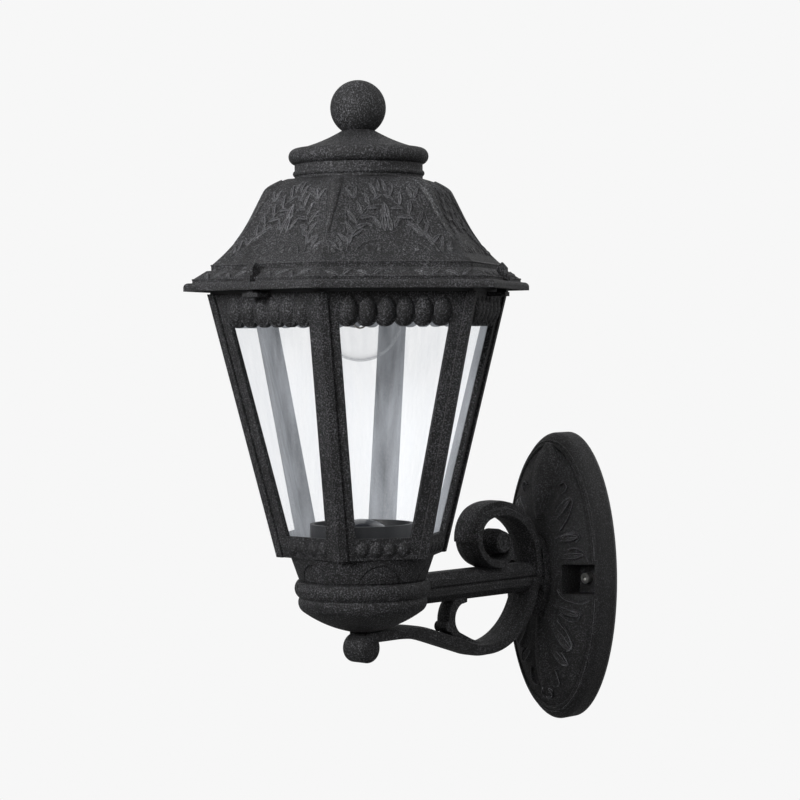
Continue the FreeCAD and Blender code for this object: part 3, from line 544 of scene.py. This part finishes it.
# %% [markdown]
# ## Leaves
# All the foliage is made of leaves that one function draws. A grid has tidy rows, so each row can be picked
# and drawn in to the leaf's width there, and the columns either side of the middle are raised: that leaves a
# sunk vein. Solidify then turns the sheet into a closed body whose underside goes into the wall.

# %% A leaf drawn flat
LEAF_ROWS = 8
SUNK = 0.35 * MM
NEAR = 0.01    # closer than this, a vertex belongs to a row or column of the unit grid

# Shares of the full width or height, from a leaf's foot to its tip.
PLUMP = (0.22, 0.6, 0.88, 1.0, 0.97, 0.86, 0.66, 0.4, 0.1)
SLIM = (0.3, 0.45, 0.58, 0.72, 0.88, 1.0, 0.98, 0.78, 0.3)
EVEN = (0.35, 0.6, 0.85, 1.0, 1.0, 0.95, 0.85, 0.65, 0.3)
TO_TIP = (0.1, 0.2, 0.32, 0.46, 0.62, 0.8, 1.0, 1.0, 0.5)


def leaf(length, width, height, widths=PLUMP, heights=EVEN, vein=0.45):
    """A leaf in mm, from its foot at 0 along +Y. vein is the middle's height against the sides'."""
    fresh()
    bpy.ops.mesh.primitive_grid_add(x_subdivisions=4, y_subdivisions=LEAF_ROWS, size=1.0, location=(0, 0, 0))
    sheet = bpy.context.object
    bpy.ops.object.mode_set(mode="EDIT")
    pick(lambda at: abs(abs(at.x) - 0.25) < NEAR)
    move(z=1.0)
    pick(lambda at: abs(at.x) < NEAR)
    move(z=vein)
    for row in range(LEAF_ROWS + 1):
        pick(lambda at: abs(at.y + 0.5 - row / LEAF_ROWS) < NEAR)
        resize(x=widths[row], z=heights[row])
    bpy.ops.mesh.select_all(action="SELECT")
    move(y=0.5)
    resize(x=width * MM, y=length * MM, z=height * MM)
    move(z=-SUNK / 2)
    bpy.ops.object.mode_set(mode="OBJECT")
    wall = sheet.modifiers.new("body", "SOLIDIFY")
    wall.thickness = SUNK
    wall.offset = -1.0
    bpy.ops.object.modifier_apply(modifier=wall.name)
    return sheet


def laid(master, foot, heading_deg, size=1.0, flip=1.0):
    """A copy of a flat leaf: its foot on a place in mm, its tip towards a heading (90 is up)."""
    copy = twin(master)
    turn = Matrix.Rotation(math.radians(heading_deg - 90.0), 4, "Z")
    place = Matrix.Translation((foot[0] * MM, foot[1] * MM, 0))
    copy.data.transform(place @ turn @ Matrix.Scale(size, 4))
    if flip < 0:
        copy.data.transform(Matrix.Scale(-1.0, 4, (1, 0, 0)))
        copy.data.flip_normals()
    return copy


print("a leaf has", LEAF_ROWS, "rows and goes", SUNK / MM, "mm into the wall")

# %% [markdown]
# ## Stems
# A stem is a path with a round bevel, turned into a mesh. Each point of a path has its own radius, so a stem
# can thin out towards its end.

# %% Round bars and flat-lying stems
def bar(points, radii, sides=3):
    """A round bar along five or more points, as a mesh: a path curve with a bevel, converted."""
    fresh()
    bpy.ops.curve.primitive_nurbs_path_add(location=(0, 0, 0))
    path = bpy.context.object
    path.data.bevel_depth = 1.0
    path.data.bevel_resolution = sides
    path.data.use_fill_caps = True
    path.data.resolution_u = 4
    spline = path.data.splines[0]
    spline.points.add(len(points) - len(spline.points))
    for point, at, radius in zip(spline.points, points, radii):
        point.co = (*at, 1)
        point.radius = radius
    spline.order_u = 3
    spline.use_endpoint_u = True
    bpy.ops.object.convert(target="MESH")
    return bpy.context.object


def stem(places, thick, end=0.4):
    """A flat-lying stem through places in mm. end is its last radius against its first."""
    radii = [thick * (1 - (1 - end) * k / (len(places) - 1)) * MM for k in range(len(places))]
    return bar([Vector((x * MM, y * MM, 0)) for x, y in places], radii, sides=2)


print("stems ready")

# %% [markdown]
# ## Foliage on the roof
# Each of the roof's six panels carries a low relief: two branches that lean in as they rise, a plume between
# them, an arch at the foot and a row of small buds. One half is drawn, mirrored, and the whole drawing is
# draped on all panels.

# %% Draw one panel and drape it six times
SPRIG = (9.5, 4.4, 1.5)    # length, width and height in mm
BUD = (5.0, 5.0, 1.4)
BRANCH = ((33, 247.5), (30, 254), (24, 262), (20, 270), (14, 277), (8, 282), (5, 288))
BRANCH_THICK = 0.9
ARCH = ((27, 247), (24, 251), (18, 254), (10, 256), (0.5, 256.8))
ARCH_THICK = 0.7
BUDS = ((9, 247.2), (18, 247.2), (36, 247), (42, 246.6))
SPRIGS = (
    # foot, heading in degrees, size
    ((31, 252), 120, 1.0), ((30, 254), 40, 0.9), ((27, 258), 150, 1.1), ((26, 260), 65, 1.0),
    ((23, 264), 165, 1.0), ((22, 267), 60, 1.15), ((19, 271), 175, 1.0), ((17, 274), 75, 1.0),
    ((13, 278), 180, 0.9), ((11, 280), 80, 1.0), ((7, 284), 150, 0.8), ((5, 287), 70, 1.0),
    ((2.5, 262), 95, 1.2), ((5, 264), 60, 1.0), ((2, 271), 100, 1.2), ((21, 285), 110, 0.9),
    ((22, 285), 60, 0.9), ((2.5, 290), 95, 0.9), ((36, 250), 75, 0.9), ((39, 249), 50, 0.8),
)


def panel_drawing():
    """One panel's relief, drawn flat."""
    sprig = leaf(*SPRIG)
    bud = leaf(*BUD, vein=1.0)
    pieces = []
    for flip in (1.0, -1.0):
        pieces += [laid(sprig, foot, heading, size, flip) for foot, heading, size in SPRIGS]
        pieces += [laid(bud, foot, 90, 1.0, flip) for foot in BUDS]
        for places, thick in ((BRANCH, BRANCH_THICK), (ARCH, ARCH_THICK)):
            pieces.append(stem([(flip * x, y) for x, y in places], thick))
    bpy.data.objects.remove(sprig)
    bpy.data.objects.remove(bud)
    return joined(pieces)


finish_piece(on_six_faces(panel_drawing()), "roof_foliage", "roof")

# %% [markdown]
# ## Frieze
# The sloping band above the eave has a row of small leaves, lying alternately up and down. On the faces where
# a pointed tongue of the cage comes through the roof, the middle has to stay free, so it is left free on all.

# %% Leaves along the frieze
FRIEZE_LEAF = (9.0, 3.4, 1.7)    # length, width and height in mm
FRIEZE_Z = 232.2
FRIEZE_LEAN_DEG = 25
FRIEZE_LEAVES = (-48, -37, -26, -15, 15, 26, 37, 48)


def frieze_drawing():
    """One face's row of leaves, drawn flat."""
    master = leaf(*FRIEZE_LEAF)
    row = []
    for k, x in enumerate(FRIEZE_LEAVES):
        rising = k % 2 == 1
        heading = FRIEZE_LEAN_DEG if rising else -FRIEZE_LEAN_DEG
        foot_z = FRIEZE_Z - 1.0 if rising else FRIEZE_Z + 1.6
        row.append(laid(master, (x - 4, foot_z), heading))
    bpy.data.objects.remove(master)
    return joined(row)


finish_piece(on_six_faces(frieze_drawing()), "roof_frieze", "roof")

# %% [markdown]
# ## Ridges round the eave
# A thin ridge runs round the roof at the top of the frieze and another at its foot. A torus with only six
# segments round its ring is a six-sided rod with mitred corners, which is just what is needed.

# %% Six-sided ridges
RIDGES = ((108.6, 240.2, 0.7), (122.3, 230.2, 0.6))    # radius to the corners, height and half thickness in mm


def hex_rod(radius, z, thick):
    """A six-sided rod round the lantern's axis."""
    fresh()
    bpy.ops.mesh.primitive_torus_add(
        major_segments=6, minor_segments=10, major_radius=radius * MM, minor_radius=thick * MM,
        location=(0, 0, 0))
    bpy.ops.object.mode_set(mode="EDIT")
    bpy.ops.mesh.select_all(action="SELECT")
    move(*(AXIS + Vector((0, 0, z * MM))))
    bpy.ops.object.mode_set(mode="OBJECT")
    return bpy.context.object


finish_piece(joined([hex_rod(*row) for row in RIDGES]), "eave_ridges", "roof")

# %% [markdown]
# ## Corner ribs of the roof
# A broad half-round rib runs down each corner of the roof and tapers to nothing half way, with two thin lines
# on each side of it. A rib is a path with a round bevel. It is bent to the roof by the same rays, at one
# corner, and then copied to the others by turning about the lantern's axis.

# %% Ribs on one corner, turned to the others
CORNER_DEG = 300.0
RIB_TOP_Z = 296.5
RIB_STEPS = 12
RIB_SPLAY = 0.35    # how much further from the corner a thin line is at its foot
RIB_TAPER = 0.93
RIBS = (
    # place across, half width and height of the foot in mm, share of the radius that is sunk
    (0.02, 5.2, 256.0, 0.55),
    (-7.6, 0.8, 262.0, 0.3), (-10.0, 0.6, 247.0, 0.3),
    (7.6, 0.8, 262.0, 0.3), (10.0, 0.6, 247.0, 0.3),
)


def rib(across, wide, foot_z, sunk):
    """One rib beside a corner, from the crown down to a height, tapering all the way."""
    points = []
    radii = []
    top = RIB_TOP_Z * MM
    for k in range(RIB_STEPS):
        share = k / (RIB_STEPS - 1)
        up = top + (foot_z * MM - top) * share
        at, _ = on_roof(CORNER_DEG, across * MM * (1 + RIB_SPLAY * share), up)
        outward = Vector((at.x, at.y - LANTERN_Y, 0)).normalized()
        radius = wide * MM * (1 - RIB_TAPER * share)
        tuck = wide * MM if k == 0 else 0.0
        radii.append(radius)
        points.append(at - outward * (sunk * radius + tuck))
    return bar(points, radii)


def turned(k):
    """A turn of k sixths about the lantern's axis."""
    turn = Matrix.Rotation(math.radians(SIXTH_DEG * k), 4, "Z")
    return Matrix.Translation(AXIS) @ turn @ Matrix.Translation(-AXIS)


def on_six_corners(masters):
    """Pieces modelled at one corner, copied to all six and joined."""
    copies = []
    for master in masters:
        for k in range(6):
            copy = twin(master)
            copy.data.transform(turned(k))
            copies.append(copy)
        bpy.data.objects.remove(master)
    return joined(copies)


finish_piece(on_six_corners([rib(*row) for row in RIBS]), "roof_ribs", "roof")

# %% [markdown]
# ## Leaves on the wall plate
# The plate's field is carved with a large spread leaf: a plump bud above the arm, a long spine below it and
# lobes that run out to the rim. In low light a lobe shows by its raised edge, a thin bright line that curls in
# at the tip, so the edges are drawn as stems and the bodies are low leaves. A fine bead follows the rim and
# stops at the screw pockets. Again one half is drawn and mirrored.

# %% The plate's drawing
SPINES = (
    # foot, length, width and height in mm, heading in degrees
    ((0, 46), 58.0, 26.0, 6.0, 90),
    ((0, -26), 70.0, 16.0, 2.6, -90),
)
LOBES = (
    # foot, tip, width and height in mm
    ((10, 40), (25, 62), 10.0, 2.6), ((13, 30), (33, 33), 9.0, 2.6), ((16, 17), (37, 19), 8.0, 2.2),
    ((13, -20), (33, -28), 9.0, 2.6), ((10, -32), (26, -55), 11.0, 3.0), ((8, -52), (21, -67), 9.0, 2.4),
)
EDGES = (
    ((20, 37), (25, 45), (27, 53), (28, 60), (25, 64), (22, 62)),
    ((16, 72), (19, 75), (22, 72), (22, 68), (19, 66)),
    ((22, 33), (28, 37), (33, 36), (35, 32), (32, 29)),
    ((27, 23), (32, 25), (37, 22), (39, 18), (40, 14)),
    ((19, -8), (21, -14), (31, -18), (37, -19), (41, -16)),
    ((29, -24), (34, -24), (35, -28), (32, -33), (25, -32), (20, -27)),
    ((18, -32), (23, -38), (27, -46), (28, -54), (23, -56)),
    ((19, -57), (22, -62), (23, -66), (21, -68), (18, -67)),
    ((12, -71), (13, -76), (14, -81), (12, -85), (8, -85)),
    ((3, -87), (5, -90), (5, -93), (3, -95), (0.5, -95)),
)
EDGE_THICK = 0.9
EDGE_END = 0.7
EDGE_TALL = 2.6    # an edge's height against its width
BEAD_THICK = 0.6
BEAD_HALF = (45.2, 106.5)
BEAD_STEPS = 16
BEAD_FROM_DEG = 8.0
print("plate:", len(SPINES), "spines,", len(LOBES), "lobes and", len(EDGES), "edges in a half")

# %% Build the plate's leaf and drape it
def lobe_pair(foot, tip, width, height):
    """A low leaf from a foot to a tip, and its mirror image."""
    run = Vector(tip) - Vector(foot)
    lobe = leaf(run.length, width, height, SLIM, TO_TIP, vein=0.5)
    heading = math.degrees(math.atan2(run.y, run.x))
    pair = [laid(lobe, foot, heading, 1.0, flip) for flip in (1.0, -1.0)]
    bpy.data.objects.remove(lobe)
    return pair


def raised_edge(places):
    """A stem that is taller than it is wide."""
    ridge = stem(places, EDGE_THICK, EDGE_END)
    ridge.data.transform(Matrix.Scale(EDGE_TALL, 4, (0, 0, 1)))
    return ridge


def rim_bead(across, upward):
    """A quarter of the bead along the rim. The two signs say which quarter."""
    arc = []
    for k in range(BEAD_STEPS + 1):
        turn = math.radians(BEAD_FROM_DEG + (90 - BEAD_FROM_DEG) * k / BEAD_STEPS)
        arc.append((across * BEAD_HALF[0] * math.cos(turn), upward * BEAD_HALF[1] * math.sin(turn)))
    return stem(arc, BEAD_THICK, 1.0)


def plate_drawing():
    """The plate's leaves, drawn flat."""
    pieces = []
    for foot, length, width, height, heading in SPINES:
        spine = leaf(length, width, height, SLIM, EVEN, vein=1.25)
        pieces.append(laid(spine, foot, heading))
        bpy.data.objects.remove(spine)
    for row in LOBES:
        pieces += lobe_pair(*row)
    for flip in (1, -1):
        pieces += [raised_edge([(flip * x, y) for x, y in edge]) for edge in EDGES]
        pieces += [rim_bead(flip, upward) for upward in (1, -1)]
    return joined(pieces)


drawing = plate_drawing()
# The plate's leaves wear a darker resin with pale edges: painted shade and painted highlight.
finish_piece(draped(drawing, on_plate), "plate_leaves", BRACKET, "shaded_highlit_resin")
bpy.data.objects.remove(drawing)

# %% [markdown]
# ## Eyes of the scroll
# The scroll above the arm ends in a round eye. On both sides of it stand a thin ring and a small boss: the
# ring is a torus and the boss is a ball pressed flat, both turned to face sideways.

# %% Ring and boss on both sides
EYE = Vector((0, -91.6, 31.7)) * MM
EYE_SIDE = 11.5 * MM
RING_RADIUS = 6.4 * MM
RING_THICK = 0.7 * MM
BOSS_RADIUS = 1.7 * MM
BOSS_FLAT = 0.6


def eye_detail(side):
    """The ring and boss on one side of the scroll's eye."""
    fresh()
    place = EYE + Vector((side * EYE_SIDE, 0, 0))
    bpy.ops.mesh.primitive_torus_add(
        major_segments=40, minor_segments=8, major_radius=RING_RADIUS, minor_radius=RING_THICK,
        location=place, rotation=(0, math.pi / 2, 0))
    ring = bpy.context.object
    bpy.ops.object.transform_apply()
    bpy.ops.mesh.primitive_uv_sphere_add(segments=20, ring_count=10, radius=BOSS_RADIUS, location=place)
    boss = bpy.context.object
    bpy.ops.object.mode_set(mode="EDIT")
    bpy.ops.mesh.select_all(action="SELECT")
    resize(x=BOSS_FLAT, about=place)
    bpy.ops.object.mode_set(mode="OBJECT")
    bpy.ops.object.transform_apply()
    return [ring, boss]


finish_piece(joined(eye_detail(-1) + eye_detail(1)), "scroll_eyes", BRACKET)
